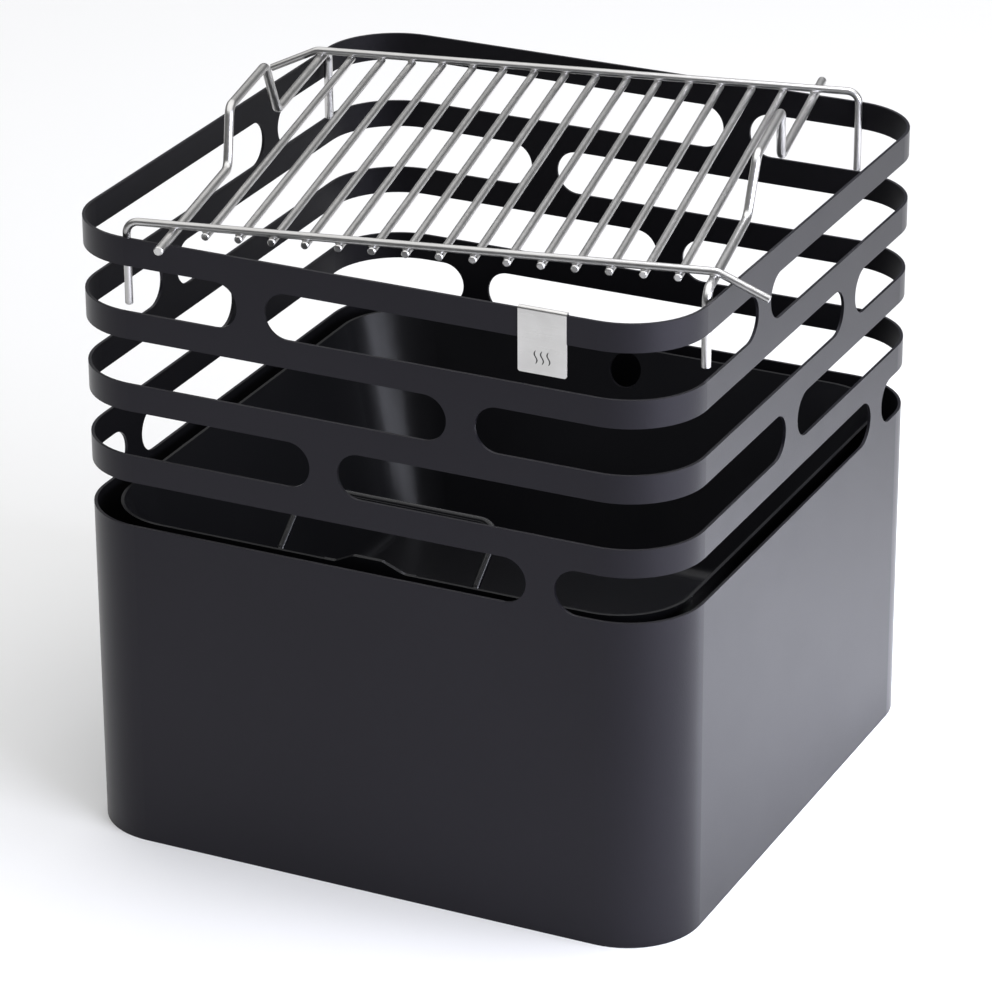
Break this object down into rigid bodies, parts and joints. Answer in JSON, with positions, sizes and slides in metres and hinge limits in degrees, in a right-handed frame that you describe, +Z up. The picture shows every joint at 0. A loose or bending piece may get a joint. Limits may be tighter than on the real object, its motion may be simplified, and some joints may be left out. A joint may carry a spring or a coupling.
{
  "type": "fire pit with grate",
  "caption": "Square slotted steel fire basket with rounded corners, a lift-out fire pan and a lift-off stainless wire grill grate.",
  "frame": {"origin": "centre of the basket's base, on the ground", "axes": "+Z up, +X to the right along the face with the badge clip, which looks towards -Y"},
  "size_m": [0.4688, 0.4578, 0.4623],
  "materials": {
    "powder_coat": "matte charcoal powder coat",
    "pan_enamel": "black satin coat",
    "pan_wire": "black satin wire",
    "grate_wire": "bright drawn stainless wire",
    "brushed_badge": "fine brushed stainless sheet"
  },
  "bodies": {
    "basket": {"basket_shell": "powder_coat", "left_pan_rail": "powder_coat", "right_pan_rail": "powder_coat", "badge_clip": "brushed_badge"},
    "pan": {"fire_pan": "pan_enamel", "pan_handle": "pan_wire"},
    "grate": {"front_cross_wire": "grate_wire", "rear_cross_wire": "grate_wire", "left_handle_bar": "grate_wire", "right_handle_bar": "grate_wire", "grate_bar_01": "grate_wire", "grate_bar_02": "grate_wire", "grate_bar_03": "grate_wire", "grate_bar_04": "grate_wire", "grate_bar_05": "grate_wire", "grate_bar_06": "grate_wire", "grate_bar_07": "grate_wire", "grate_bar_08": "grate_wire", "grate_bar_09": "grate_wire", "grate_bar_10": "grate_wire", "grate_bar_11": "grate_wire", "grate_bar_12": "grate_wire", "grate_bar_13": "grate_wire", "grate_bar_14": "grate_wire", "grate_bar_15": "grate_wire"}
  },
  "joints": [
    {"name": "grate_lift", "type": "slide", "parent": "basket", "child": "grate", "axis": [0, 0, 1], "range_m": [0, 0.15]},
    {"name": "pan_lift", "type": "slide", "parent": "basket", "child": "pan", "axis": [0, 0, 1], "range_m": [0, 0.12]}
  ]
}
